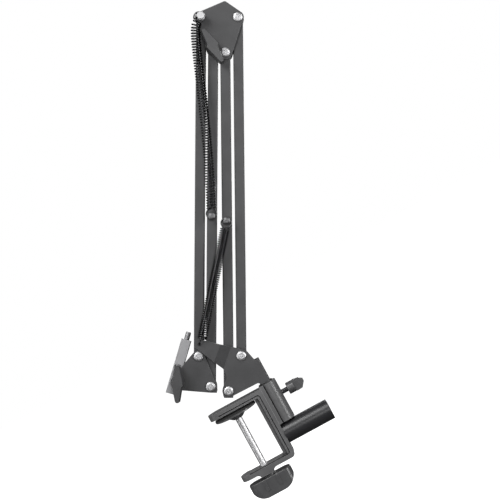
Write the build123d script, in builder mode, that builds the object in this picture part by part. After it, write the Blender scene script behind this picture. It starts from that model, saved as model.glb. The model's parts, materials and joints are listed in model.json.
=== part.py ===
from build123d import *
import os
from math import cos, hypot, radians, sin

# Folding microphone arm: two parallelogram sections of square tube, each with a balance spring,
# on a desk clamp. Millimetres, +Z up. The origin is the middle of the upper jaw's underside, which
# rests on the desk. The arm folds in the XZ plane, and its front side faces -Y. "Depth" is the
# distance from the arm's middle plane towards the front.

os.makedirs("parts", exist_ok=True)

# ---- arm: places are (across, along) in the folded arm's own directions ----
LEAN = 28.5  # lean of the folded arm from vertical
LOWER_SPLAY, UPPER_SPLAY = -0.6, 0.4  # lean of each folded section from the arm's own direction
BASE_X, BASE_Z = 5.3, 21.6  # the lower main pivot
SECTION_LENGTH = 374.0  # pivot to pivot, both sections
SCREW_UP = 188.0  # spring screw from its bar's foot pivot, both sections
BAR_WIDTH = 11.2
BAR_WALL = 1.0
BAR_CORNER = 1.6
BASE_MAIN = (0.0, 0.0)
BASE_LINK = (14.0, 39.0)
END_MAIN = (-19.9, 4.9)
END_LINK = (-33.2, 38.3)
TILT_PIVOT = (-56.1, 9.2)
SPRING_HOLE = (-32.3, 51.8)
ELBOW_PEAK = (-4.5, 427.4)

# ---- arm: depths and fits ----
BAR_FACE = BAR_WIDTH / 2
PLATE_BACK = 6.25
PLATE = 1.5
PLATE_FACE = PLATE_BACK + PLATE
PIN_R = 3.0
POST_R = 2.5  # the spring post's bolt
SPRING_SCREW_R = 2.0
RUNNING = 0.05  # radial running clearance
BUSH_R = 4.0
BUSH_FLANGE_R = 5.4
BUSH_FLANGE = 0.45
RIVET_HEAD_R = 5.4
RIVET_HEAD = 1.9
WING_FACE = 12.25  # front of the spring wing
LOWER_SPRING_DEPTH = 12.8
UPPER_SPRING_DEPTH = 14.4
SPRING_R = 5.5
WIRE_R = 0.75
SLEEVE_WALL = 0.8
EYE_R = 5.6  # middle of the wire
EYE_OFFSET = 2.7  # eye centre from its screw, towards the coils
HOOK_LENGTH = 14.0  # from the wing's hole to the first coil
EYE_LENGTH = 8.5  # from a spring screw to the nearest coil
UPPER_BOW = [(-34.3, 404.0), (-36.6, 387.0), (-30.6, 338.0)]  # the slack upper spring bows away from the arm

# ---- microphone bar ----
MIC_BAR_ANGLE = 16.5  # from the folded arm's length
MIC_BAR_OFFSET = -4.6  # bar axis from the tilt pivot
MIC_BAR_DEPTH = 10.4
MIC_BAR_TOP = 48.0
MIC_BAR_BOTTOM = -14.4
LUG_R = 7.2
STUD_R = 3.175
STUD_LENGTH = 8.5
STUD_TENON_R, STUD_TENON = 2.4, 8.0  # pressed into the bar

# ---- wing knobs ----
KNOB_BASE = 8.3
KNOB_SKIRT = 11.6
KNOB_FACE = 22.6
ELBOW_KNOB_ANGLE = -59.0
TILT_KNOB_ANGLE = 90.0
# Half of a two-winged outline: a blunt tip, then the corner and the notch at the hub.
WING_FOOT = [(20.8, 3.0), (20.8, -3.0), (-1.6, -7.6), (-4.4, -5.6)]
WING_TOP = [(20.6, 1.6), (20.2, -1.6), (-1.4, -6.3), (-3.6, -4.2)]

# ---- clamp ----
HALF_WIDTH = 11.0
JAW_LEFT = -29.0
JAW_TOP = 7.1
SPINE_INNER, SPINE_OUTER = 25.6, 37.2
LOWER_JAW_TOP, LOWER_JAW_BOTTOM = -69.5, -75.7
BOSS_BOTTOM = -79.4
BOSS_FOOT, BOSS_ROOT = 7.8, 13.4  # half widths of the boss at its end and at the jaw
STEP_WIDTH, STEP = 4.3, 3.6  # set-back strip along the spine's inner side
RIB_UP = 2.55  # middle of the side groove, from the upper jaw's underside
RIB_IN = 6.95  # the same, from the spine's inner side
RIB_DOWN = 0.6  # the same, from the lower jaw's top
GROOVE, GROOVE_DEPTH, GROOVE_TURN = 1.25, 2.4, 3.0
GROOVE_LEFT = -18.0
SCREW_R = 4.0
SCREW_TOP = -5.2
NUT_R = 6.5
SOCKET_X = 46.0
SOCKET_R = 10.4
SOCKET_TOP, SOCKET_BOTTOM = 9.3, -37.3
FLANGE_LEFT, FLANGE_RIGHT = 35.8, 41.2
FLANGE_GROOVE = 1.5
WASHER_R = 7.4
PIVOT_R = 6.0
PIVOT_BOTTOM = -32.0
BRACKET_LOW = -10.6  # underside of the bracket's floor, from the lower main pivot
SPIGOT_R = 3.3  # riveted top of the pin
SIDE_Z = -50.0
SIDE_R = 11.7
SIDE_END = 94.8
SIDE_BORE_R = 6.1
SIDE_BORE = 45.0
SIDE_SPIGOT_R, SIDE_SPIGOT = 6.0, 7.0  # stub in the spine
LOCK_Z = -8.1
LOCK_R = 2.9
LOCK_HEAD, LOCK_BLADE = 63.5, 71.4
LOCK_COLLAR_R = 6.8
LOCK_SEAT = 4.5  # shank inside the thumb piece
PAD_R = 24.9
PAD_TOP = -2.05
PAD_RUBBER, PAD_RIM = 0.8, 1.9
KNOB_TOP, KNOB_BOTTOM = -82.8, -102.9
HANDLE_HALF = 25.6
HANDLE_DEPTH = 10.0

# ---- frames of reference ----
ALONG = (sin(radians(LEAN)), 0, cos(radians(LEAN)))
ACROSS = (cos(radians(LEAN)), 0, -sin(radians(LEAN)))
ORIGIN = (BASE_X, 0, BASE_Z)
arm = Plane(origin=ORIGIN, x_dir=ACROSS, z_dir=(0, -1, 0))
base = Plane(origin=ORIGIN, x_dir=(1, 0, 0), z_dir=(0, -1, 0))
side = Plane(origin=(0, 0, 0), x_dir=(1, 0, 0), z_dir=(0, -1, 0))


def up_bar(foot, splay, distance=SECTION_LENGTH):
    """The place at a distance up a bar from its foot pivot."""
    return (foot[0] + distance * sin(radians(splay)), foot[1] + distance * cos(radians(splay)))


ELBOW_MAIN = up_bar(BASE_MAIN, LOWER_SPLAY)
ELBOW_LINK = up_bar(BASE_LINK, LOWER_SPLAY)
ELBOW_LOCK = up_bar(END_MAIN, UPPER_SPLAY)
ELBOW_POST = up_bar(END_LINK, UPPER_SPLAY)
LOWER_SCREW = up_bar(BASE_MAIN, LOWER_SPLAY, SCREW_UP)
UPPER_SCREW = up_bar(END_MAIN, UPPER_SPLAY, SCREW_UP)


def axial(place):
    """Plane through a cross pivot: x is the radius, y the depth."""
    return Plane(origin=arm.from_local_coords((*place, 0)), x_dir=ACROSS, z_dir=-Vector(*ALONG))


def save(piece, name):
    piece.part.label = name
    export_step(piece.part, f"parts/{name}.step")


def turned(name, places, profile):
    """Solids of revolution about the cross pivots, from (radius, depth) points."""
    with BuildPart() as piece:
        for place in places:
            plane = axial(place)
            with BuildSketch(plane):
                with BuildLine():
                    Polyline(*profile, close=True)
                make_face()
            revolve(axis=Axis(plane.origin, plane.y_dir))
    save(piece, name)


# ---- arm sections ----
def turn_dir(angle):
    """Direction in the arm's plane, by its angle from the across direction."""
    a = radians(angle)
    return Vector(*ACROSS) * cos(a) + Vector(*ALONG) * sin(a)


def bar(name, foot, splay, screw=None):
    """Square tube with round-cut ends, bush holes at both pivots and an optional spring screw hole."""
    end_r = BAR_WIDTH / 2 + 0.1
    start = arm.from_local_coords((*up_bar(foot, splay, -BAR_WIDTH), 0))
    middle = arm.from_local_coords((*up_bar(foot, splay, SECTION_LENGTH / 2), 0))
    lengthwise = Plane(origin=middle, x_dir=turn_dir(90 - splay), z_dir=(0, -1, 0))
    with BuildPart() as tube:
        with BuildSketch(Plane(origin=start, x_dir=turn_dir(-splay), z_dir=turn_dir(90 - splay))):
            RectangleRounded(BAR_WIDTH, BAR_WIDTH, BAR_CORNER)
            inner = BAR_WIDTH - 2 * BAR_WALL
            RectangleRounded(inner, inner, BAR_CORNER - BAR_WALL, mode=Mode.SUBTRACT)
        extrude(amount=SECTION_LENGTH + 2 * BAR_WIDTH)
        with BuildSketch(lengthwise.offset(-BAR_WIDTH)):
            SlotCenterToCenter(SECTION_LENGTH, 2 * end_r)
        extrude(amount=2 * BAR_WIDTH, mode=Mode.INTERSECT)
        with BuildSketch(arm.offset(-BAR_WIDTH)):
            with Locations(foot, up_bar(foot, splay)):
                Circle(BUSH_R)
            if screw:
                with Locations(screw):
                    Circle(SPRING_SCREW_R)
        extrude(amount=2 * BAR_WIDTH, mode=Mode.SUBTRACT)
    save(tube, name)


def bushes(name, foot, splay, top_pin_r=PIN_R):
    """Two flanged bushes at each end of a bar, one in each wall."""
    with BuildPart() as pair:
        for place, pin_r in ((foot, PIN_R), (up_bar(foot, splay), top_pin_r)):
            for facing in (1, -1):
                with BuildSketch(arm.offset(facing * BAR_FACE)):
                    with Locations(place):
                        Circle(BUSH_FLANGE_R)
                        Circle(pin_r + RUNNING, mode=Mode.SUBTRACT)
                extrude(amount=facing * BUSH_FLANGE)
                with BuildSketch(arm.offset(facing * BAR_FACE)):
                    with Locations(place):
                        Circle(BUSH_R)
                        Circle(pin_r + RUNNING, mode=Mode.SUBTRACT)
                extrude(amount=-facing * 2.2)
    save(pair, name)


def spring_screw(prefix, place, depth):
    """Cross-recess pan head screw through a bar, its spacer below the spring's eye, and its nut."""
    seat = depth + WIRE_R + 0.1
    top = seat + 2.7
    nut = -BAR_FACE - 3.2
    with BuildPart() as screw:
        plane = axial(place)
        with BuildSketch(plane):
            with BuildLine():
                shaft = [(0, nut - 1), (SPRING_SCREW_R, nut - 1), (SPRING_SCREW_R, seat)]
                head = Polyline(*shaft, (4.15, seat))
                rim = Line(head @ 1, (4.15, seat + 1.2))
                dome = ThreePointArc(rim @ 1, (3.0, top - 0.45), (0, top))
                Line(dome @ 1, head @ 0)
            make_face()
        revolve(axis=Axis(plane.origin, plane.y_dir))
        with BuildSketch(arm.offset(top - 1.3)):
            with Locations(place):
                Rectangle(4.6, 1.0, rotation=25)
                Rectangle(1.0, 4.6, rotation=25)
        extrude(amount=2, mode=Mode.SUBTRACT)
    save(screw, f"{prefix}_spring_screw")
    r_out, low, high = 3.8, BAR_FACE, depth - WIRE_R - 0.1
    hole = SPRING_SCREW_R
    turned(f"{prefix}_spring_spacer", [place], [(hole, low), (r_out, low), (r_out, high), (hole, high)])
    hex_nut(f"{prefix}_spring_nut", place, 7.0, nut, 3.2, SPRING_SCREW_R)


def hex_nut(name, place, across_flats, low, height, hole_r):
    with BuildPart() as nut:
        with BuildSketch(arm.offset(low)):
            with Locations(place):
                RegularPolygon(across_flats / 2, 6, major_radius=False)
                Circle(hole_r, mode=Mode.SUBTRACT)
        extrude(amount=height)
        chamfer(nut.faces().sort_by(Axis.Y)[-1].outer_wire().edges(), 0.4)
    save(nut, name)


# ---- plates and rivets ----
def hull_plate(name, circles, holes, low):
    """Flat plate whose outline wraps round the given (place, radius) circles."""
    with BuildPart() as plate:
        with BuildSketch(arm.offset(low)):
            for place, r in circles:
                with Locations(place):
                    Circle(r)
            make_hull()
            for place, r in holes:
                with Locations(place):
                    Circle(r, mode=Mode.SUBTRACT)
        extrude(amount=PLATE)
        outer = -1 if low < 0 else 0
        chamfer(plate.faces().sort_by(Axis.Y)[outer].outer_wire().edges(), 0.3)
    save(plate, name)


def rivets(name, places):
    """Domed head at the front with a ringed dimple, and a plain formed head at the back."""
    low, high = -PLATE_FACE, PLATE_FACE
    profile = [(0, low - 1.4), (2.6, low - 1.4), (4.6, low - 0.8), (5.0, low), (PIN_R, low)]
    profile += [(PIN_R, high), (RIVET_HEAD_R, high), (RIVET_HEAD_R, high + 0.5)]
    profile += [(4.9, high + 1.2), (3.9, high + 1.7), (3.2, high + RIVET_HEAD), (2.7, high + RIVET_HEAD)]
    profile += [(2.4, high + 1.35), (1.6, high + 1.35), (1.3, high + 1.7), (0, high + 1.8)]
    turned(name, places, profile)


def elbow():
    circles = [(ELBOW_POST, 6.6), (ELBOW_LOCK, 7.6), (ELBOW_MAIN, 8.0), (ELBOW_LINK, 6.6), (ELBOW_PEAK, 3.0)]
    hole = PIN_R + RUNNING
    holes = [(ELBOW_MAIN, hole), (ELBOW_LINK, hole), (ELBOW_LOCK, hole), (ELBOW_POST, POST_R + RUNNING)]
    hull_plate("elbow_plate_front", circles, holes, PLATE_BACK)
    hull_plate("elbow_plate_rear", circles, holes, -PLATE_FACE)
    rivets("elbow_rivets", [ELBOW_MAIN, ELBOW_LINK])
    spring_post()
    wing_knob("elbow", ELBOW_LOCK, ELBOW_KNOB_ANGLE)


def spring_post():
    """Long hex bolt that is the upper link's pivot and holds the upper spring's eye, with its parts."""
    eye_front = UPPER_SPRING_DEPTH + WIRE_R + 0.1
    eye_back = UPPER_SPRING_DEPTH - WIRE_R - 0.1
    head = eye_front + 0.9
    with BuildPart() as bolt:
        with BuildSketch(arm.offset(-PLATE_FACE - 5.2)):
            with Locations(ELBOW_POST):
                Circle(POST_R)
        extrude(amount=head + PLATE_FACE + 5.2)
        with BuildSketch(arm.offset(head)):
            with Locations(ELBOW_POST):
                RegularPolygon(4.1, 6, major_radius=False)
        extrude(amount=3.6)
        chamfer(bolt.faces().sort_by(Axis.Y)[0].outer_wire().edges(), 0.5)
    save(bolt, "spring_post_bolt")
    ring = [(POST_R, eye_front), (4.8, eye_front), (4.8, head), (POST_R, head)]
    turned("spring_post_washer", [ELBOW_POST], ring)
    sleeve = [(POST_R, PLATE_FACE), (4.2, PLATE_FACE), (4.2, eye_back), (POST_R, eye_back)]
    turned("spring_post_sleeve", [ELBOW_POST], sleeve)
    hex_nut("spring_post_nut", ELBOW_POST, 8.0, -PLATE_FACE - 4.2, 4.2, POST_R)


def end_bracket():
    tilt_corner = (-52.1, 4.0)
    main_corner = (-13.6, -1.2)
    circles = [(END_LINK, 6.6), (END_MAIN, 6.8), (TILT_PIVOT, 8.2), (tilt_corner, 3.0), (main_corner, 0.8)]
    hole = PIN_R + RUNNING
    holes = [(END_LINK, hole), (END_MAIN, hole), (TILT_PIVOT, hole)]
    hull_plate("end_plate_front", circles, holes, PLATE_BACK)
    hull_plate("end_plate_rear", circles, holes, -PLATE_FACE)
    rivets("end_rivets", [END_LINK, END_MAIN])
    wing_knob("tilt", TILT_PIVOT, TILT_KNOB_ANGLE)


# ---- wing knobs ----
def two_wings(half):
    """Corners of both wings, the second one turned half round."""
    return half + [(-x, -y) for x, y in half]


def wing_knob(prefix, place, angle):
    """Bolt with a round head at the back, a plain washer, and a two-winged knob with its metal insert."""
    low, end = -PLATE_FACE, KNOB_FACE - 5.0
    head = [(0, low - 3.2), (3.4, low - 3.2), (5.6, low - 1.8), (6.0, low)]
    head += [(PIN_R, low), (PIN_R, end), (0, end)]
    turned(f"{prefix}_bolt", [place], head)
    insert_r, bore = 4.2, PIN_R + RUNNING
    insert = [(bore, KNOB_BASE), (insert_r, KNOB_BASE), (insert_r, end - 1), (bore, end - 1)]
    turned(f"{prefix}_knob_insert", [place], insert)
    spun = Plane(origin=arm.from_local_coords((*place, 0)), x_dir=turn_dir(angle), z_dir=(0, -1, 0))
    with BuildPart() as knob:
        with BuildSketch(spun.offset(KNOB_BASE)):
            Circle(6.6)
        extrude(amount=KNOB_SKIRT - KNOB_BASE + 1)
        for depth, half, corner in ((KNOB_SKIRT, WING_FOOT, 1.4), (KNOB_FACE, WING_TOP, 0.8)):
            with BuildSketch(spun.offset(depth)):
                with BuildLine():
                    Polyline(*two_wings(half), close=True)
                make_face()
                fillet(vertices(), corner)
        loft(ruled=True)
        with BuildSketch(spun.offset(KNOB_BASE)):
            Circle(insert_r)
        extrude(amount=end - 1 - KNOB_BASE, mode=Mode.SUBTRACT)
        with BuildSketch(spun.offset(KNOB_BASE)):
            Circle(bore)
        extrude(amount=end + 0.6 - KNOB_BASE, mode=Mode.SUBTRACT)
    save(knob, f"{prefix}_knob")


# ---- microphone bar ----
def microphone_bar():
    """Square bar with a lug that tilts between the end plates, and a threaded stud at its top."""
    a = radians(MIC_BAR_ANGLE)
    along = Vector(*ALONG) * cos(a) + Vector(*ACROSS) * sin(a)
    across = Vector(*ACROSS) * cos(a) - Vector(*ALONG) * sin(a)
    pivot = arm.from_local_coords((*TILT_PIVOT, 0))
    foot = pivot + across * MIC_BAR_OFFSET + along * MIC_BAR_BOTTOM
    with BuildPart() as mic_bar:
        with BuildSketch(Plane(origin=foot, x_dir=across, z_dir=along)):
            RectangleRounded(BAR_WIDTH, MIC_BAR_DEPTH, 0.8)
        extrude(amount=MIC_BAR_TOP - MIC_BAR_BOTTOM)
        with BuildSketch(arm.offset(-BAR_FACE)):
            with Locations(TILT_PIVOT):
                Circle(LUG_R)
        extrude(amount=2 * BAR_FACE)
        with BuildSketch(arm.offset(-BAR_FACE)):
            with Locations(TILT_PIVOT):
                Circle(PIN_R + RUNNING)
        extrude(amount=2 * BAR_FACE, mode=Mode.SUBTRACT)
        top = foot + along * (MIC_BAR_TOP - MIC_BAR_BOTTOM)
        with BuildSketch(Plane(origin=top, x_dir=across, z_dir=along)):
            Circle(STUD_TENON_R)
        extrude(amount=-STUD_TENON, mode=Mode.SUBTRACT)
    save(mic_bar, "microphone_bar")
    with BuildPart() as stud:
        with BuildSketch(Plane(origin=top, x_dir=across, z_dir=along)):
            Circle(STUD_R)
        extrude(amount=STUD_LENGTH)
        with BuildSketch(Plane(origin=top, x_dir=across, z_dir=along)):
            Circle(STUD_TENON_R)
        extrude(amount=-STUD_TENON)
        chamfer(stud.faces().filter_by(GeomType.PLANE).sort_by(Axis(foot, along))[-1].edges(), 0.7)
    save(stud, "microphone_stud")
    washer = [(PIN_R + RUNNING, BAR_FACE), (6.4, BAR_FACE), (6.4, 6.2), (PIN_R + RUNNING, 6.2)]
    with BuildPart() as washers:
        for facing in (1, -1):
            plane = axial(TILT_PIVOT)
            with BuildSketch(plane):
                with BuildLine():
                    Polyline(*[(r, facing * depth) for r, depth in washer], close=True)
                make_face()
            revolve(axis=Axis(plane.origin, plane.y_dir))
    save(washers, "tilt_washers")


# ---- springs, as plain sleeves of the coils' outer size with a flat eye at the far end ----
def towards(start, end, distance):
    """The place at a distance from start on the way to end."""
    share = distance / hypot(end[0] - start[0], end[1] - start[1])
    return (start[0] + (end[0] - start[0]) * share, start[1] + (end[1] - start[1]) * share)


def spring(prefix, route, screw, depth, bends=()):
    """Coils along the route, which ends near the screw, and the eye round the screw."""
    with BuildPart() as coils:
        points = [arm.from_local_coords((*place, depth)) for place in route]
        with BuildLine() as path:
            if bends:
                FilletPolyline(*points, radius=bends)
            else:
                Line(*points)
        with BuildSketch(Plane(origin=path.line @ 0, z_dir=path.line % 0)):
            Circle(SPRING_R)
            Circle(SPRING_R - SLEEVE_WALL, mode=Mode.SUBTRACT)
        sweep(path=path.line)
    save(coils, f"{prefix}_spring")
    with BuildPart() as eye:
        with BuildSketch(arm.offset(depth - WIRE_R)):
            with Locations(towards(screw, route[-2], EYE_OFFSET)):
                Circle(EYE_R + WIRE_R)
                Circle(EYE_R - WIRE_R, mode=Mode.SUBTRACT)
        extrude(amount=2 * WIRE_R)
    save(eye, f"{prefix}_spring_eye")


# ---- base bracket ----
def base_bracket():
    """Folded steel bracket: two cheeks, a web at the back, a floor, and a joggled wing for the spring."""
    web_x, web_top, low = 46.1, 16.1, BRACKET_LOW
    neck_x, slope_x, under = 35.7, 32.4, -7.7
    c, s = cos(radians(LEAN)), sin(radians(LEAN))
    link = (BASE_LINK[0] * c + BASE_LINK[1] * s, BASE_LINK[1] * c - BASE_LINK[0] * s)

    def cheek_outline():
        corners = [((slope_x, under + 1), 1.0), ((40.0, web_top - 1), 1.0)]
        for place, r in [((0, 0), 7.0), (link, 7.0)] + corners:
            with Locations(place):
                Circle(r)
        make_hull()

    neck = [(slope_x, under), (neck_x, low), (web_x, low), (web_x, web_top), (slope_x, web_top)]
    # the cheeks' square toe below the main pivot
    toe = [(-6.6, 1.0), (-6.2, -4.6), (-5.0, -7.6), (5.0, -7.6), (5.3, -5.0), (4.0, 0)]

    with BuildPart() as bracket:
        with BuildSketch(base.offset(PLATE_BACK - 1)):
            cheek_outline()
            with BuildLine():
                Polyline(*neck, close=True)
            make_face()
        extrude(amount=WING_FACE - PLATE_BACK + 2)
        with BuildSketch(arm.offset(PLATE_BACK - 1)):
            with BuildLine():
                top = Line((12.6, 46.6), (-30.7, 57.1))
                tip = ThreePointArc(top @ 1, (-37.8, 51.4), (-34.7, 47.0))
                lower = Line(tip @ 1, (-6.3, 24.6))
                notch = ThreePointArc(lower @ 1, (-2.4, 14.8), (-6.8, 2.2))
                Polyline(notch @ 1, (4.0, 0), (12.6, 38.0), top @ 0)
            make_face()
            with BuildLine():
                Polyline(*toe, close=True)
            make_face()
        extrude(amount=WING_FACE - PLATE_BACK + 2)
        bend = arm.from_local_coords((-14.6, 36.8, 0))
        crease = Plane(origin=bend, x_dir=turn_dir(-19.0), z_dir=turn_dir(71.0))
        with BuildSketch(crease.offset(-80)):
            with BuildLine():
                Polyline(*joggle(), close=True)
            make_face()
        extrude(amount=160, mode=Mode.INTERSECT)
        with BuildSketch(base.offset(-PLATE_FACE)):
            cheek_outline()
            with BuildLine():
                Polyline(*neck, close=True)
            make_face()
        extrude(amount=PLATE)
        with BuildSketch(arm.offset(-PLATE_FACE)):
            with BuildLine():
                Polyline(*toe, close=True)
            make_face()
        extrude(amount=PLATE)
        with BuildSketch(base.offset(-PLATE_FACE)):
            with Locations((web_x, low)):
                Rectangle(PLATE, web_top - low, align=(Align.MAX, Align.MIN))
            with Locations((neck_x, low)):
                Rectangle(web_x - neck_x, PLATE, align=(Align.MIN, Align.MIN))
        extrude(amount=2 * PLATE_FACE)
        folds = bracket.edges().filter_by(Axis.Z).group_by(Axis.X)[-1]
        fillet(folds, 1.4)
        with BuildSketch(arm.offset(-WING_FACE)):
            for place in (BASE_MAIN, BASE_LINK):
                with Locations(place):
                    Circle(PIN_R + RUNNING)
            with Locations(SPRING_HOLE):
                Circle(2.2)
        extrude(amount=3 * WING_FACE, mode=Mode.SUBTRACT)
        with BuildSketch(Plane.XY.offset(BASE_Z + BRACKET_LOW)):
            with Locations((SOCKET_X, 0)):
                Circle(SPIGOT_R)
        extrude(amount=PLATE, mode=Mode.SUBTRACT)
    save(bracket, "base_bracket")


def joggle():
    """Section across the creases of the front cheek: the wing stands forward of the cheek."""
    low, high = PLATE_BACK, WING_FACE - PLATE
    front = [(-60, high + PLATE), (0, high + PLATE), (12.5, low + PLATE), (90, low + PLATE)]
    back = [(90, low), (12.5, low), (0, high), (-60, high)]
    return [(x, -depth) for x, depth in front + back]


# ---- clamp ----
def clamp_frame():
    """Cast C frame: round-ended jaws and a spine, ribbed on both sides, with a boss for the screw's nut."""
    with BuildPart() as frame:
        with BuildSketch(side.offset(-HALF_WIDTH)):
            with BuildLine():
                top = Polyline((BOSS_ROOT, LOWER_JAW_BOTTOM), (SPINE_OUTER, LOWER_JAW_BOTTOM),
                               (SPINE_OUTER, JAW_TOP), (JAW_LEFT, JAW_TOP), (JAW_LEFT, 0),
                               (SPINE_INNER, 0), (SPINE_INNER, LOWER_JAW_TOP), (JAW_LEFT, LOWER_JAW_TOP),
                               (JAW_LEFT, LOWER_JAW_BOTTOM), (-BOSS_ROOT, LOWER_JAW_BOTTOM))
                waist, middle = BOSS_FOOT + 1.6, (LOWER_JAW_BOTTOM + BOSS_BOTTOM) / 2 + 0.7
                left = ThreePointArc(top @ 1, (-waist, middle), (-BOSS_FOOT, BOSS_BOTTOM))
                foot = Line(left @ 1, (BOSS_FOOT, BOSS_BOTTOM))
                ThreePointArc(foot @ 1, (waist, middle), top @ 0)
            make_face()
            outer = vertices().group_by(Axis.X)[-1].sort_by(Axis.Y)
            fillet(outer[0], 5.0)
            fillet(outer[-1], 5.0)
        extrude(amount=2 * HALF_WIDTH)
        upright = frame.edges().filter_by(Axis.Y)
        inside = [e for e in upright if abs(e.center().X - SPINE_INNER) < 0.1]
        fillet(inside, 2.0)
        with BuildSketch(Plane.XY.offset(BOSS_BOTTOM - 1)):
            with Locations((JAW_LEFT + HALF_WIDTH, 0)):
                Circle(HALF_WIDTH)
                Rectangle(SPINE_OUTER + 40, 2 * HALF_WIDTH, align=(Align.MIN, Align.CENTER))
        extrude(amount=JAW_TOP - BOSS_BOTTOM + 2, mode=Mode.INTERSECT)
        for face_depth, inward in ((HALF_WIDTH, -1), (-HALF_WIDTH, 1)):
            with BuildSketch(side.offset(face_depth)):
                with BuildLine():
                    x, high, low = SPINE_INNER + RIB_IN, RIB_UP, LOWER_JAW_TOP - RIB_DOWN
                    corners = [(GROOVE_LEFT, high), (x, high), (x, low), (GROOVE_LEFT, low)]
                    FilletPolyline(*corners, radius=GROOVE_TURN)
                trace(line_width=GROOVE)
            extrude(amount=inward * GROOVE_DEPTH, mode=Mode.SUBTRACT)
            with BuildSketch(side.offset(face_depth)):
                with Locations((SPINE_INNER - 1, LOWER_JAW_TOP / 2)):
                    Rectangle(1 + STEP_WIDTH, -LOWER_JAW_TOP, align=(Align.MIN, Align.CENTER))
            extrude(amount=inward * STEP, mode=Mode.SUBTRACT)
        with BuildSketch(Plane.XY.offset(BOSS_BOTTOM)):
            Circle(NUT_R)
        extrude(amount=LOWER_JAW_TOP - BOSS_BOTTOM + 1, mode=Mode.SUBTRACT)
        with BuildSketch(Plane.YZ.offset(SPINE_OUTER)):
            with Locations((0, SIDE_Z)):
                Circle(SIDE_SPIGOT_R)
        extrude(amount=-SIDE_SPIGOT, mode=Mode.SUBTRACT)
    save(frame, "clamp_frame")


def pivot_socket():
    """Upright socket for the arm's pin: a round barrel on a flat flange, with a cross hole for the lock."""
    with BuildPart() as socket:
        with BuildSketch(Plane.XY.offset(SOCKET_BOTTOM)):
            with Locations((SOCKET_X, 0)):
                Circle(SOCKET_R)
            with Locations((SPINE_OUTER, 0)):
                Rectangle(12, 3 * SOCKET_R, align=(Align.MAX, Align.CENTER), mode=Mode.SUBTRACT)
                Rectangle(FLANGE_RIGHT - SPINE_OUTER, 2 * HALF_WIDTH, align=(Align.MIN, Align.CENTER))
        extrude(amount=SOCKET_TOP - SOCKET_BOTTOM)
        with BuildSketch(side.offset(-HALF_WIDTH)):
            with Locations((SPINE_OUTER, JAW_TOP)):
                Rectangle(SPINE_OUTER - FLANGE_LEFT, SOCKET_TOP - JAW_TOP, align=(Align.MAX, Align.MIN))
        extrude(amount=2 * HALF_WIDTH)
        corner = socket.edges().filter_by(Axis.Y).group_by(Axis.X)[0].sort_by(Axis.Z)[-1]
        fillet(corner, 1.3)
        for face_depth, inward in ((HALF_WIDTH, -1), (-HALF_WIDTH, 1)):
            with BuildSketch(side.offset(face_depth)):
                with Locations((FLANGE_RIGHT, SOCKET_BOTTOM - 1)):
                    Rectangle(FLANGE_GROOVE, JAW_TOP - SOCKET_BOTTOM, align=(Align.MIN, Align.MIN))
            extrude(amount=inward * 2.6, mode=Mode.SUBTRACT)
        with BuildSketch(Plane.XY.offset(PIVOT_BOTTOM - 0.5)):
            with Locations((SOCKET_X, 0)):
                Circle(PIVOT_R + RUNNING)
        extrude(amount=SOCKET_TOP - PIVOT_BOTTOM + 1, mode=Mode.SUBTRACT)
        with BuildSketch(Plane.YZ.offset(SOCKET_X)):
            with Locations((0, LOCK_Z)):
                Circle(LOCK_R + RUNNING)
        extrude(amount=2 * SOCKET_R, mode=Mode.SUBTRACT)
    save(socket, "pivot_socket")


def side_socket():
    """Plain round tube, closed at the spine, with a blind bore from its open end."""
    with BuildPart() as socket:
        with BuildSketch(Plane.YZ.offset(SPINE_OUTER)):
            with Locations((0, SIDE_Z)):
                Circle(SIDE_R)
        extrude(amount=SIDE_END - SPINE_OUTER)
        chamfer(socket.faces().sort_by(Axis.X)[-1].edges(), 0.6)
        with BuildSketch(Plane.YZ.offset(SPINE_OUTER)):
            with Locations((0, SIDE_Z)):
                Circle(SIDE_SPIGOT_R)
        extrude(amount=0.2 - SIDE_SPIGOT)
        with BuildSketch(Plane.YZ.offset(SIDE_END)):
            with Locations((0, SIDE_Z)):
                Circle(SIDE_BORE_R)
        extrude(amount=-SIDE_BORE, mode=Mode.SUBTRACT)
    save(socket, "side_socket")


def ring_solid(name, centre, outer, inner, low, high):
    """Plain upright ring, from low to high."""
    with BuildPart() as ring:
        with BuildSketch(Plane.XY.offset(low)):
            with Locations(centre):
                Circle(outer)
                Circle(inner, mode=Mode.SUBTRACT)
        extrude(amount=high - low)
    save(ring, name)


def upright_turned(name, profile, centre_x=0.0):
    """Solid of revolution about a vertical axis, from (radius, height) points."""
    with BuildPart() as piece:
        with BuildSketch(Plane(origin=(centre_x, 0, 0), x_dir=(1, 0, 0), z_dir=(0, -1, 0))):
            with BuildLine():
                Polyline(*profile, close=True)
            make_face()
        revolve(axis=Axis((centre_x, 0, 0), (0, 0, 1)))
    save(piece, name)


def pressure_pad():
    """Disc that the screw presses against the desk, and its rubber face."""
    rubber = PAD_TOP - PAD_RUBBER
    bottom = rubber - PAD_RIM
    upright_turned("pad_rubber", [(0, rubber), (PAD_R - 0.4, rubber), (PAD_R - 0.4, PAD_TOP), (0, PAD_TOP)])
    neck = SCREW_R + RUNNING
    cone = [(0, rubber), (PAD_R, rubber), (PAD_R, bottom + 0.4), (PAD_R - 0.5, bottom), (13.5, bottom - 0.8)]
    cone += [(10.0, bottom - 2.5), (7.0, bottom - 4.8), (5.7, bottom - 5.7), (neck, bottom - 5.7)]
    cone += [(neck, SCREW_TOP + RUNNING), (0, SCREW_TOP + RUNNING)]
    upright_turned("pressure_disc", cone)


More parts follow.
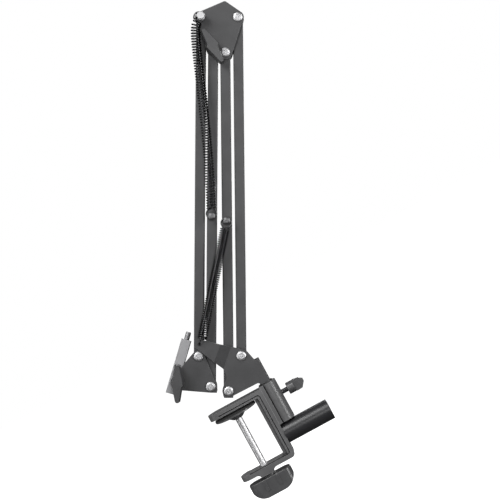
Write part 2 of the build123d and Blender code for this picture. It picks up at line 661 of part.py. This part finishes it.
def clamp_screw():
    """Screw with a plain tip in the disc, and the half-moon handle moulded on its lower end."""
    foot = KNOB_BOTTOM + 6
    with BuildPart() as screw:
        with BuildSketch(Plane.XY.offset(foot)):
            Circle(SCREW_R)
        extrude(amount=SCREW_TOP - foot)
        chamfer(screw.faces().sort_by(Axis.Z)[-1].edges(), 0.6)
    save(screw, "clamp_screw")
    with BuildPart() as handle:
        straight = KNOB_TOP - 9.0
        shoulder = (HANDLE_HALF - 4.6, straight - 6.6)
        with BuildSketch(side.offset(-HANDLE_DEPTH)):
            with BuildLine():
                top = Line((-HANDLE_HALF, KNOB_TOP), (HANDLE_HALF, KNOB_TOP))
                right = Line(top @ 1, (HANDLE_HALF, straight))
                right_arc = ThreePointArc(right @ 1, shoulder, (9.0, KNOB_BOTTOM))
                floor = Line(right_arc @ 1, (-9.0, KNOB_BOTTOM))
                left_arc = ThreePointArc(floor @ 1, (-shoulder[0], shoulder[1]), (-HANDLE_HALF, straight))
                Line(left_arc @ 1, top @ 0)
            make_face()
        extrude(amount=2 * HANDLE_DEPTH)
        with BuildSketch(Plane.XY.offset(KNOB_BOTTOM - 1)):
            RectangleRounded(2 * HANDLE_HALF, 2 * HANDLE_DEPTH, HANDLE_DEPTH - 1)
        extrude(amount=KNOB_TOP - KNOB_BOTTOM + 2, mode=Mode.INTERSECT)
        fillet(handle.faces().sort_by(Axis.Z)[-1].edges(), 0.9)
        with BuildSketch(side.offset(-HANDLE_DEPTH - 0.8)):
            for x in (-8.0, 8.0):
                with Locations((x, KNOB_TOP - 7.4)):
                    RectangleRounded(3.2, 11.0, 0.6)
        extrude(amount=2 * HANDLE_DEPTH + 1.6)
        with BuildSketch(Plane.XY.offset(KNOB_TOP)):
            Circle(BOSS_FOOT)
        extrude(amount=2.4)
        with BuildSketch(Plane.XY.offset(foot)):
            Circle(SCREW_R)
        extrude(amount=KNOB_TOP - foot + 10, mode=Mode.SUBTRACT)
    save(handle, "clamp_knob")


def lock_screw():
    """Thumbscrew through the socket's wall that stops the arm's pin from turning."""
    frame = Plane(origin=(0, 0, LOCK_Z), x_dir=(0, 1, 0), z_dir=(1, 0, 0))
    tip, seat = SOCKET_X + PIVOT_R + 0.3, LOCK_HEAD + LOCK_SEAT
    root = LOCK_COLLAR_R - 1.0
    upper_edge = [(LOCK_BLADE - 1.0, root), (LOCK_BLADE, root), (72.4, 6.8), (79.6, 5.7), (83.6, 3.4)]
    lower_edge = [(83.6, -0.4), (79.0, -6.3), (72.4, -6.8), (LOCK_BLADE, -root), (LOCK_BLADE - 1.0, -root)]
    with BuildPart() as shank:
        with BuildSketch(frame.offset(tip)):
            Circle(LOCK_R)
        extrude(amount=seat - tip)
        chamfer(shank.faces().sort_by(Axis.X)[0].edges(), 0.4)
    save(shank, "lock_screw_shank")
    with BuildPart() as thumb:
        with BuildSketch(side.offset(-3.2)):
            with BuildLine():
                Polyline(*[(x, LOCK_Z + z) for x, z in upper_edge + lower_edge], close=True)
            make_face()
            fillet(vertices().group_by(Axis.X)[-1], 1.6)
        extrude(amount=6.4)
        with BuildSketch(frame.offset(LOCK_HEAD)):
            Circle(LOCK_COLLAR_R)
        extrude(amount=LOCK_BLADE - LOCK_HEAD)
        chamfer(thumb.faces().sort_by(Axis.X)[0].edges(), 0.5)
        with BuildSketch(frame.offset(LOCK_HEAD)):
            Circle(LOCK_R)
        extrude(amount=LOCK_SEAT, mode=Mode.SUBTRACT)
    save(thumb, "lock_screw_thumb")


# ---- the whole object ----
clamp_frame()
pivot_socket()
side_socket()
ring_solid("clamp_nut", (0, 0), NUT_R, SCREW_R + RUNNING, BOSS_BOTTOM, LOWER_JAW_TOP)
pressure_pad()
clamp_screw()
lock_screw()
floor = BASE_Z + BRACKET_LOW
ring_solid("swivel_washer", (SOCKET_X, 0), WASHER_R, PIVOT_R + RUNNING, SOCKET_TOP, floor - 0.1)
base_bracket()
pin = [(0, PIVOT_BOTTOM), (PIVOT_R - 0.8, PIVOT_BOTTOM), (PIVOT_R, PIVOT_BOTTOM + 0.8), (PIVOT_R, floor)]
pin += [(SPIGOT_R, floor), (SPIGOT_R, floor + PLATE), (SPIGOT_R + 0.4, floor + PLATE)]
pin += [(SPIGOT_R + 0.1, floor + 3.0), (0, floor + 3.6)]
upright_turned("base_pin", pin, SOCKET_X)
rivets("base_rivets", [BASE_MAIN, BASE_LINK])
bar("lower_main_bar", BASE_MAIN, LOWER_SPLAY, LOWER_SCREW)
bar("lower_link_bar", BASE_LINK, LOWER_SPLAY)
bar("upper_main_bar", END_MAIN, UPPER_SPLAY, UPPER_SCREW)
bar("upper_link_bar", END_LINK, UPPER_SPLAY)
bushes("lower_main_bushes", BASE_MAIN, LOWER_SPLAY)
bushes("lower_link_bushes", BASE_LINK, LOWER_SPLAY)
bushes("upper_main_bushes", END_MAIN, UPPER_SPLAY)
bushes("upper_link_bushes", END_LINK, UPPER_SPLAY, POST_R)
spring_screw("lower", LOWER_SCREW, LOWER_SPRING_DEPTH)
spring_screw("upper", UPPER_SCREW, UPPER_SPRING_DEPTH)
elbow()
end_bracket()
microphone_bar()
lower_route = [towards(SPRING_HOLE, LOWER_SCREW, HOOK_LENGTH), towards(LOWER_SCREW, SPRING_HOLE, EYE_LENGTH)]
spring("lower", lower_route, LOWER_SCREW, LOWER_SPRING_DEPTH)
upper_route = UPPER_BOW + [towards(UPPER_SCREW, UPPER_BOW[-1], EYE_LENGTH)]
spring("upper", upper_route, UPPER_SCREW, UPPER_SPRING_DEPTH, bends=(60, 200))
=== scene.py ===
import json
from math import cos, pi, radians, sin

import bpy
from mathutils import Matrix, Vector
from mathutils.geometry import interpolate_bezier


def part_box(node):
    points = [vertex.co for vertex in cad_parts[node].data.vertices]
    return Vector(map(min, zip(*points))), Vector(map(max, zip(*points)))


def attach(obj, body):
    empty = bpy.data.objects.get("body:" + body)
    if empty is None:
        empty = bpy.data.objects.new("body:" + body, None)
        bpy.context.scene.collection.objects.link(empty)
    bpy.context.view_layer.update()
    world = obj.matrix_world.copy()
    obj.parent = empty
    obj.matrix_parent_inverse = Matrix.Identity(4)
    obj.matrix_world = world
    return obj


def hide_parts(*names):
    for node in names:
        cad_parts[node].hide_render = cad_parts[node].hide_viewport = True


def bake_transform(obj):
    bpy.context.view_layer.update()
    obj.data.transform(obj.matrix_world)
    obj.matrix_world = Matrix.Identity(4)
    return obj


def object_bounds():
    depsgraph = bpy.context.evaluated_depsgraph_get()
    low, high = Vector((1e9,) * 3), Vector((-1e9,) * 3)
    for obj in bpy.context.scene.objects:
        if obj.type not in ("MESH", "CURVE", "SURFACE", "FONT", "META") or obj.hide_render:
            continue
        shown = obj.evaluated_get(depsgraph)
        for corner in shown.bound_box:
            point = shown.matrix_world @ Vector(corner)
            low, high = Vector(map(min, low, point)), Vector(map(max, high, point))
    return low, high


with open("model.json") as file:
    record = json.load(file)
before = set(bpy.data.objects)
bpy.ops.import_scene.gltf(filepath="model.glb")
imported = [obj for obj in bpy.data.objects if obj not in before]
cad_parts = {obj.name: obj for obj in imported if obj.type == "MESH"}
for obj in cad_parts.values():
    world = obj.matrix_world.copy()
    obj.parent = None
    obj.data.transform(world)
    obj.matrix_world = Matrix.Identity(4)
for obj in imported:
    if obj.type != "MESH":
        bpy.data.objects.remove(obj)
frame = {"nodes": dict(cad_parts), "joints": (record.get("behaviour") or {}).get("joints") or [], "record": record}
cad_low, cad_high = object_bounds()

# Folding microphone arm on a desk clamp. Everything is in metres, in the row's frame.
# The arm's own directions: along the folded sections, across them, and to the front (-Y).
MM = 0.001
joints = {joint["name"]: joint for joint in frame["joints"]}


def pivot(name):
    return Vector(joints[name]["pos_m"])


LEAN = radians(28.5)  # lean of the folded arm from vertical
FRONT = Vector((0, -1, 0))
ALONG = Vector((sin(LEAN), 0, cos(LEAN)))
ACROSS = ALONG.cross(FRONT)
BASE = pivot("lower_fold")


def arm_point(across, along, depth=0.0):
    """A point of the arm, in millimetres from the lower main pivot."""
    return BASE + (ACROSS * across + ALONG * along + FRONT * depth) * MM


def centre(node):
    low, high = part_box(node)
    return (low + high) / 2


# ---- camera: level, looking at the front, rolled so that the folded arm stands upright ----
DISTANCE = 1.160
FIELD = 0.5555  # width seen at the arm's middle plane
SENSOR = 36  # millimetres, as Blender takes it
target = arm_point(23.5, 155.7)
camera_data = bpy.data.cameras.new("camera")
camera_data.sensor_width = SENSOR
camera_data.lens = SENSOR * DISTANCE / FIELD
camera_data.clip_end = 30
camera = bpy.data.objects.new("camera", camera_data)
bpy.context.scene.collection.objects.link(camera)
turn = Matrix((ACROSS, ALONG, FRONT)).transposed().to_4x4()
camera.matrix_world = Matrix.Translation(target + FRONT * DISTANCE) @ turn
bpy.context.scene.camera = camera


# ---- materials ----
NOISE_LOW, NOISE_HIGH = 0.3, 0.7  # the part of a noise's range that carries tone
CLOUD = 45  # blotches per metre of painted pieces
MOULDED_CLOUD = 60
WORN_AND_HIGHLIT_RADIUS = 0.5 * MM  # how far the lighter edge, part wear and part painted highlight, reaches from an edge
MOULDED_WORN_AND_HIGHLIT_RADIUS = 0.4 * MM
WORN_HIGHLIT_FROM, WORN_HIGHLIT_TO = 0.998, 0.93  # cosine between a surface and its rounded edge
# reach and limits of the painted shade that ambient occlusion puts in grooves and joins
RECESS_SHADE_REACH = 3 * MM
OPEN, DEEP = 0.92, 0.55  # share of the surroundings that a surface sees


def new_material(name):
    """Material with its nodes, its links and its main shader."""
    material = bpy.data.materials.new(name)
    material.use_nodes = True
    nodes, links = material.node_tree.nodes, material.node_tree.links
    return material, nodes, links, nodes["Principled BSDF"]


def noise(nodes, links, scale, detail=3.0):
    """Noise in the object's own coordinates, with its scale per metre."""
    place = nodes.new("ShaderNodeTexCoord")
    texture = nodes.new("ShaderNodeTexNoise")
    texture.inputs["Scale"].default_value = scale
    texture.inputs["Detail"].default_value = detail
    links.new(place.outputs["Object"], texture.inputs["Vector"])
    return texture.outputs["Fac"]


def ramp(nodes, links, source, low, high):
    """Colour from low to high over the noise's range."""
    node = nodes.new("ShaderNodeValToRGB")
    node.color_ramp.elements[0].position = NOISE_LOW
    node.color_ramp.elements[1].position = NOISE_HIGH
    node.color_ramp.elements[0].color = (*low, 1)
    node.color_ramp.elements[1].color = (*high, 1)
    links.new(source, node.inputs["Fac"])
    return node.outputs["Color"]


def spread(nodes, links, source, low, high):
    """Number from low to high over the noise's range."""
    node = nodes.new("ShaderNodeMapRange")
    node.inputs["From Min"].default_value = NOISE_LOW
    node.inputs["From Max"].default_value = NOISE_HIGH
    node.inputs["To Min"].default_value = low
    node.inputs["To Max"].default_value = high
    links.new(source, node.inputs["Value"])
    return node.outputs["Result"]


def edge_mask(nodes, links, radius):
    """About 0 on flat surfaces and 1 on convex and concave edges."""
    bevel = nodes.new("ShaderNodeBevel")
    bevel.samples = 4
    bevel.inputs["Radius"].default_value = radius
    geometry = nodes.new("ShaderNodeNewGeometry")
    dot = nodes.new("ShaderNodeVectorMath")
    dot.operation = "DOT_PRODUCT"
    links.new(bevel.outputs["Normal"], dot.inputs[0])
    links.new(geometry.outputs["Normal"], dot.inputs[1])
    away = nodes.new("ShaderNodeMapRange")
    away.inputs["From Min"].default_value = WORN_HIGHLIT_FROM
    away.inputs["From Max"].default_value = WORN_HIGHLIT_TO
    links.new(dot.outputs["Value"], away.inputs["Value"])
    return away.outputs["Result"]


def painted_recess_shade_mask(nodes, links):
    """Painted shade from ambient occlusion: 1 in grooves and where pieces meet, and 0 on open surfaces."""
    shade = nodes.new("ShaderNodeAmbientOcclusion")
    shade.samples = 6
    shade.inputs["Distance"].default_value = RECESS_SHADE_REACH
    deep = nodes.new("ShaderNodeMapRange")
    deep.inputs["From Min"].default_value = OPEN
    deep.inputs["From Max"].default_value = DEEP
    links.new(shade.outputs["AO"], deep.inputs["Value"])
    return deep.outputs["Result"]


def mix(nodes, links, factor, tone, colour):
    """Tone where the factor is 0 and a fixed colour where it is 1."""
    node = nodes.new("ShaderNodeMix")
    node.data_type = "RGBA"
    sockets = [socket for socket in node.inputs if socket.type == "RGBA"]
    links.new(factor, node.inputs["Factor"])
    links.new(tone, sockets[0])
    sockets[1].default_value = (*colour, 1)
    return next(socket for socket in node.outputs if socket.type == "RGBA")


def bump(nodes, links, shader, height, distance):
    """Relief of a given depth in metres."""
    node = nodes.new("ShaderNodeBump")
    node.inputs["Distance"].default_value = distance
    links.new(height, node.inputs["Height"])
    links.new(node.outputs["Normal"], shader.inputs["Normal"])


def scaled(colour, factor):
    """A lighter or darker colour, no brighter than white."""
    return tuple(min(1, c * factor) for c in colour)


def coated(name, colour, roughness, grain, depth, edge=1.6, recess_shade=0.45):
    """Black paint or powder coat: grain, faint cloudy tone, lighter edges that are partly wear and partly painted
    highlight, and painted shade in recesses and joins.
    """
    material, nodes, links, shader = new_material(name)
    cloud = noise(nodes, links, CLOUD)
    fine = noise(nodes, links, grain, 2.0)
    tone = ramp(nodes, links, cloud, scaled(colour, 0.86), scaled(colour, 1.14))
    # lighter edges: partly wear, partly a painted highlight along the rounded edges
    tone = mix(nodes, links, edge_mask(nodes, links, WORN_AND_HIGHLIT_RADIUS), tone, scaled(colour, edge))
    # painted shade: the colour darkens where ambient occlusion finds grooves and joins
    tone = mix(nodes, links, painted_recess_shade_mask(nodes, links), tone, scaled(colour, recess_shade))
    links.new(tone, shader.inputs["Base Color"])
    gloss = spread(nodes, links, fine, roughness - 0.05, roughness + 0.05)
    links.new(gloss, shader.inputs["Roughness"])
    bump(nodes, links, shader, fine, depth)
    return material


def metal(name, colour, roughness, grain=300, depth=0.02 * MM, vary=0.1):
    """Bare, plated or blackened metal: blotchy tone and gloss, faint scratches."""
    material, nodes, links, shader = new_material(name)
    blotches = noise(nodes, links, grain, 4.0)
    tone = ramp(nodes, links, blotches, scaled(colour, 1 - vary), scaled(colour, 1 + vary))
    links.new(tone, shader.inputs["Base Color"])
    shader.inputs["Metallic"].default_value = 1
    gloss = spread(nodes, links, blotches, roughness * 0.8, roughness * 1.2)
    links.new(gloss, shader.inputs["Roughness"])
    bump(nodes, links, shader, blotches, depth)
    return material


def moulded(name, colour, roughness, grain=1400, depth=0.05 * MM):
    """Moulded plastic or rubber with a fine eroded texture."""
    material, nodes, links, shader = new_material(name)
    fine = noise(nodes, links, grain, 2.0)
    cloud = noise(nodes, links, MOULDED_CLOUD)
    tone = ramp(nodes, links, cloud, scaled(colour, 0.88), scaled(colour, 1.12))
    # lighter edges: partly wear, partly a painted highlight along the rounded edges
    tone = mix(nodes, links, edge_mask(nodes, links, MOULDED_WORN_AND_HIGHLIT_RADIUS), tone, scaled(colour, 1.5))
    links.new(tone, shader.inputs["Base Color"])
    gloss = spread(nodes, links, fine, roughness - 0.06, roughness + 0.06)
    links.new(gloss, shader.inputs["Roughness"])
    bump(nodes, links, shader, fine, depth)
    return material


# relief depths are in metres, grains are noise scales per metre
# edge sets the lighter edges, part wear and part painted highlight; the recess setting sets the painted shade in
# grooves and joins
RECIPES = {
    "powder_black_steel": (
        coated,
        dict(colour=(0.054, 0.054, 0.056), roughness=0.48, grain=1800, depth=0.02 * MM, edge=2.4),
    ),
    # cast_black: strong painted edge highlight and nearly black painted shade in its grooves
    "cast_black": (
        coated,
        dict(
            colour=(0.115, 0.115, 0.117), roughness=0.34, grain=900, depth=0.03 * MM, edge=2.4, recess_shade=0.02,
        ),
    ),
    "gloss_black_tube": (
        coated,
        dict(colour=(0.025, 0.025, 0.027), roughness=0.33, grain=500, depth=0.002 * MM),
    ),
    "black_spacer": (coated, dict(colour=(0.025, 0.025, 0.026), roughness=0.35, grain=900, depth=0.01 * MM)),
    "black_screw": (coated, dict(colour=(0.04, 0.04, 0.042), roughness=0.3, grain=900, depth=0.01 * MM)),
    "zinc": (metal, dict(colour=(0.62, 0.62, 0.63), roughness=0.5, grain=500, depth=0.001 * MM, vary=0.03)),
    "grey_steel": (
        metal,
        dict(colour=(0.2, 0.2, 0.205), roughness=0.5, grain=500, depth=0.002 * MM, vary=0.06),
    ),
    "bright_screw": (metal, dict(colour=(0.78, 0.78, 0.79), roughness=0.48, depth=0.001 * MM, vary=0.04)),
    "satin_aluminium": (
        metal,
        dict(colour=(0.44, 0.44, 0.45), roughness=0.5, grain=260, depth=0.001 * MM, vary=0.03),
    ),
    "spring_black": (
        metal,
        dict(colour=(0.06, 0.06, 0.062), roughness=0.14, grain=900, depth=0.001 * MM, vary=0.08),
    ),
    "brass": (metal, dict(colour=(0.72, 0.52, 0.24), roughness=0.3)),
    "black_plastic": (moulded, dict(colour=(0.072, 0.072, 0.074), roughness=0.33, depth=0.01 * MM)),
    "black_rubber": (moulded, dict(colour=(0.02, 0.02, 0.02), roughness=0.75)),
    "nylon": (moulded, dict(colour=(0.03, 0.03, 0.03), roughness=0.5)),
}
MATERIALS = {name: maker(name, **recipe) for name, (maker, recipe) in RECIPES.items()}
SLOT_OF = {sub["node"]: sub["material_slot"] for sub in frame["record"]["subparts"]}


def dress(thing, slot_name):
    thing.data.materials.clear()
    thing.data.materials.append(MATERIALS[slot_name])


for node_name, node in frame["nodes"].items():
    dress(node, SLOT_OF[node_name])


# ---- meshes ----
WIRE_SIDES = 10


def piece(name, points, faces, body, slot_name, *nodes):
    """Smooth mesh piece that stands for CAD nodes and rides on a body, if one is given."""
    mesh = bpy.data.meshes.new(name)
    mesh.from_pydata([tuple(p) for p in points], [], faces)
    mesh.update()
    mesh.shade_smooth()
    thing = bpy.data.objects.new(name, mesh)
    bpy.context.scene.collection.objects.link(thing)
    dress(thing, slot_name)
    if body:
        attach(thing, body)
    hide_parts(*nodes)
    return thing


def skin(rings, sides):
    """Faces of a closed tube over rings of points that follow each other."""
    faces = []
    for i in range(rings - 1):
        for k in range(sides):
            a, b = i * sides + k, i * sides + (k + 1) % sides
            faces.append((a, b, b + sides, a + sides))
    last = (rings - 1) * sides
    faces.append(tuple(reversed(range(sides))))
    faces.append(tuple(range(last, last + sides)))
    return faces


def tube(path, radius):
    """Points and faces of a closed tube round a path of points."""
    points = []
    normal = (path[1] - path[0]).orthogonal().normalized()
    for i, p in enumerate(path):
        ahead = path[min(i + 1, len(path) - 1)] - path[max(i - 1, 0)]
        normal = (normal - ahead * (normal.dot(ahead) / ahead.length_squared)).normalized()
        aside = ahead.normalized().cross(normal)
        for k in range(WIRE_SIDES):
            angle = 2 * pi * k / WIRE_SIDES
            points.append(p + (normal * cos(angle) + aside * sin(angle)) * radius)
    return points, skin(len(path), WIRE_SIDES)


# ---- springs ----
WIRE = 0.85 * MM  # radius of the wire
COIL = 4.65 * MM  # to the middle of the wire
RING = 5.6 * MM  # radius of a hook or an eye
RING_STEPS = 26
PER_TURN = 18
LOWER_PITCH = 2.4 * MM
UPPER_PITCH = 2.98 * MM
JOIN_REACH = 3 * MM  # how far a bend in the wire reaches into its two ends
JOIN_STEPS = 9
BEND_STEPS, BOW_STEPS = 10, 40  # points along the upper spring's sharp bend and its long bow
HOOK_ARC = (40, 305)  # first angle and sweep in degrees
EYE_ARC = (10, 330)
POST_ARC = (350, -330)
EYE_OFFSET = 2.7 * MM  # middle of an eye from its screw, towards the coils
EYE_LENGTH = 8.5 * MM  # from a spring screw to the nearest coil
POST_OFFSET = 2.2 * MM  # middle of the upper hook from the bolt that holds it
HOOK_LENGTH = 6.8 * MM  # from the wing's hole to the lower spring's first coil
HOOK_ASIDE = 1.8 * MM  # how far that coil stands beside the hole
WING_DEPTH = 11.5 * MM  # middle of the wing's sheet


def coil(line, pitch):
    """Helix round a smooth line of points."""
    lengths = [0.0]
    for a, b in zip(line, line[1:]):
        lengths.append(lengths[-1] + (b - a).length)
    turns = round(lengths[-1] / pitch)
    points, at = [], 0
    for i in range(turns * PER_TURN + 1):
        s = lengths[-1] * i / (turns * PER_TURN)
        while at < len(lengths) - 2 and lengths[at + 1] < s:
            at += 1
        share = (s - lengths[at]) / (lengths[at + 1] - lengths[at])
        middle = line[at].lerp(line[at + 1], share)
        forward = (line[at + 1] - line[at]).normalized()
        side_dir = forward.cross(FRONT).normalized()
        angle = 2 * pi * i / PER_TURN
        points.append(middle + (side_dir * cos(angle) + FRONT * sin(angle)) * COIL)
    return points


def ring(middle, first, second, start, sweep):
    """Arc of wire about middle, in the plane of two directions, with its angles in degrees."""
    angles = [radians(start + sweep * i / RING_STEPS) for i in range(RING_STEPS + 1)]
    return [middle + (first * cos(a) + second * sin(a)) * RING for a in angles]


def joined(one, two):
    """Wire from the end of one run to the start of another, leaving both smoothly."""
    leave = one[-1] + (one[-1] - one[-2]).normalized() * JOIN_REACH
    arrive = two[0] - (two[1] - two[0]).normalized() * JOIN_REACH
    between = interpolate_bezier(one[-1], leave, arrive, two[0], JOIN_STEPS)
    return one + between[1:-1] + two


def spring(prefix, line, pitch, head, tail):
    """Coils with a ring at each end, stretching between two bodies."""
    path = joined(joined(head, coil(line, pitch)), tail)
    points, faces = tube(path, WIRE)
    nodes = (f"{prefix}_spring", f"{prefix}_spring_eye")
    thing = piece(f"{prefix}_spring_wire", points, faces, None, "spring_black", *nodes)
    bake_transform(thing)


def at_depth(place, depth):
    """The same place seen from the front, at another depth."""
    return Vector((place.x, -depth, place.z))


# the lower spring runs straight from the hook in the wing's hole to its screw
hole = pivot("lower_spring_swing")
lower_axis = Vector(joints["lower_spring_stretch"]["axis"])
lower_depth = -centre("lower_spring")[1]
lower_side = lower_axis.cross(FRONT).normalized()
lower_screw = at_depth(centre("lower_spring_screw"), lower_depth)
lower_line = [
    at_depth(hole, lower_depth) + lower_axis * HOOK_LENGTH + ACROSS * HOOK_ASIDE,
    lower_screw - lower_axis * EYE_LENGTH,
]
hook_middle = at_depth(hole, WING_DEPTH) + lower_axis * RING
lower_hook = ring(hook_middle, lower_axis, FRONT, *HOOK_ARC)
lower_eye = ring(lower_screw - lower_axis * EYE_OFFSET, -lower_axis, lower_side, *EYE_ARC)
spring("lower", lower_line, LOWER_PITCH, lower_hook, lower_eye)

# the slack upper spring leaves its bolt sideways, bows away from the arm and comes back to its screw
post = pivot("upper_spring_swing")
upper_depth = -centre("upper_spring_eye")[1]
upper_screw = at_depth(centre("upper_spring_screw"), upper_depth)
bow_start = arm_point(-32.4, 407.2, upper_depth / MM)
bow_bend = arm_point(-34.6, 406.0, upper_depth / MM)
bow_drop = arm_point(-35.9, 403.0, upper_depth / MM)
bow_top = arm_point(-36.0, 399.0, upper_depth / MM)
bow_pull = arm_point(-38.3, 383.0, upper_depth / MM)
bow_ease = arm_point(-22.4, 300.0, upper_depth / MM)
bow_in = (upper_screw - bow_ease).normalized()
upper_end = upper_screw - bow_in * EYE_LENGTH
upper_line = interpolate_bezier(bow_start, bow_bend, bow_drop, bow_top, BEND_STEPS)[:-1]
upper_line += interpolate_bezier(bow_top, bow_pull, bow_ease, upper_end, BOW_STEPS)
start_dir = (bow_bend - bow_start).normalized()
start_side = start_dir.cross(FRONT).normalized()
post_eye = ring(at_depth(post, upper_depth) + start_dir * POST_OFFSET, start_dir, start_side, *POST_ARC)
upper_eye = ring(upper_screw - bow_in * EYE_OFFSET, -bow_in, bow_in.cross(FRONT), *EYE_ARC)
spring("upper", upper_line, UPPER_PITCH, post_eye, upper_eye)


# ---- threads ----
THREAD_SIDES = 28
THREAD_RINGS = 6  # per turn
END_CHAMFER = 0.5 * MM


def threaded(name, node_name, ends, radius, pitch, depth, body, slot_name):
    """Rod with a rolled thread between two points, in place of a plain CAD rod."""
    start, end = ends
    forward = (end - start).normalized()
    first = forward.orthogonal().normalized()
    second = forward.cross(first)
    length = (end - start).length
    rings = int(length / pitch * THREAD_RINGS)
    points = []
    for i in range(rings + 1):
        s = length * i / rings
        taper = min(1.0, s / pitch, (length - s) / pitch)
        for k in range(THREAD_SIDES):
            phase = (s / pitch - k / THREAD_SIDES) % 1
            cut = depth * abs(2 * phase - 1)
            r = radius - cut - (1 - taper) * END_CHAMFER
            angle = 2 * pi * k / THREAD_SIDES
            points.append(start + forward * s + (first * cos(angle) + second * sin(angle)) * r)
    piece(name, points, skin(rings + 1, THREAD_SIDES), body, slot_name, node_name)


def axis_ends(node_name, direction):
    """The ends of a round node along a direction."""
    middle = centre(node_name)
    reach = [(v.co - middle).dot(direction) for v in frame["nodes"][node_name].data.vertices]
    return middle + direction * min(reach), middle + direction * max(reach)


threaded(
    "clamp_screw_thread", "clamp_screw", axis_ends("clamp_screw", Vector((0, 0, 1))),
    radius=4.0 * MM, pitch=1.25 * MM, depth=0.05 * MM, body="screw", slot_name="bright_screw",
)
threaded(
    "lock_screw_thread", "lock_screw_shank", axis_ends("lock_screw_shank", Vector((1, 0, 0))),
    radius=2.9 * MM, pitch=1.0 * MM, depth=0.3 * MM, body="lock", slot_name="black_screw",
)
mounts = {mount["name"]: mount for mount in frame["record"]["mounts"]}
microphone_axis = Vector(mounts["microphone_thread"]["axis"])
threaded(
    "microphone_thread", "microphone_stud", axis_ends("microphone_stud", microphone_axis),
    radius=3.175 * MM, pitch=1.27 * MM, depth=0.4 * MM, body="microphone_end", slot_name="satin_aluminium",
)


# ---- stage: pale floor, white surroundings and soft lights ----
def white_world(ambient):
    """White behind everything, with a dimmer, even light on the object."""
    world = bpy.data.worlds.new("studio")
    world.use_nodes = True
    nodes, links = world.node_tree.nodes, world.node_tree.links
    seen = nodes["Background"]
    seen.inputs["Color"].default_value = (1, 1, 1, 1)
    lit = nodes.new("ShaderNodeBackground")
    lit.inputs["Color"].default_value = (1, 1, 1, 1)
    lit.inputs["Strength"].default_value = ambient
    path = nodes.new("ShaderNodeLightPath")
    choose = nodes.new("ShaderNodeMixShader")
    links.new(path.outputs["Is Camera Ray"], choose.inputs["Fac"])
    links.new(lit.outputs["Background"], choose.inputs[1])
    links.new(seen.outputs["Background"], choose.inputs[2])
    links.new(choose.outputs["Shader"], nodes["World Output"].inputs["Surface"])
    bpy.context.scene.world = world


def pale_floor(below, reach):
    """Plain floor under the object that shows white and doesn't reflect in it."""
    material, nodes, links, shader = new_material("floor")
    shader.inputs["Base Color"].default_value = (0.9, 0.9, 0.9, 1)
    shader.inputs["Roughness"].default_value = 0.9
    shader.inputs["Emission Color"].default_value = (1, 1, 1, 1)
    shader.inputs["Emission Strength"].default_value = 1.0
    z = cad_low.z - below
    corners = [(-reach, -reach, z), (reach, -reach, z), (reach, reach, z), (-reach, reach, z)]
    mesh = bpy.data.meshes.new("floor")
    mesh.from_pydata(corners, [], [(0, 1, 2, 3)])
    floor = bpy.data.objects.new("floor", mesh)
    floor.data.materials.append(material)
    floor.visible_diffuse = False
    floor.visible_glossy = False
    bpy.context.scene.collection.objects.link(floor)


def soft_light(name, across, along, depth, size, power):
    """Rectangular light placed by metres from the camera's target, in the picture's directions."""
    data = bpy.data.lights.new(name, "AREA")
    data.shape = "RECTANGLE"
    data.size, data.size_y = size
    data.energy = power
    lamp = bpy.data.objects.new(name, data)
    offset = ACROSS * across + ALONG * along + FRONT * depth
    lamp.location = target + offset
    lamp.rotation_euler = (-offset).to_track_quat("-Z", "Y").to_euler()
    bpy.context.scene.collection.objects.link(lamp)


bpy.context.scene.view_settings.view_transform = "Standard"
white_world(ambient=0.07)
pale_floor(below=0.25, reach=12.0)
soft_light("key", across=-0.9, along=0.95, depth=1.1, size=(0.6, 0.9), power=19)
soft_light("left", across=-1.1, along=-0.2, depth=0.55, size=(0.5, 1.3), power=6)
soft_light("right", across=1.1, along=0.2, depth=0.7, size=(0.3, 1.4), power=16)
soft_light("front", across=0.15, along=0.15, depth=1.5, size=(0.4, 0.4), power=5)
soft_light("back", across=0.3, along=0.7, depth=-1.3, size=(1.2, 1.2), power=16)
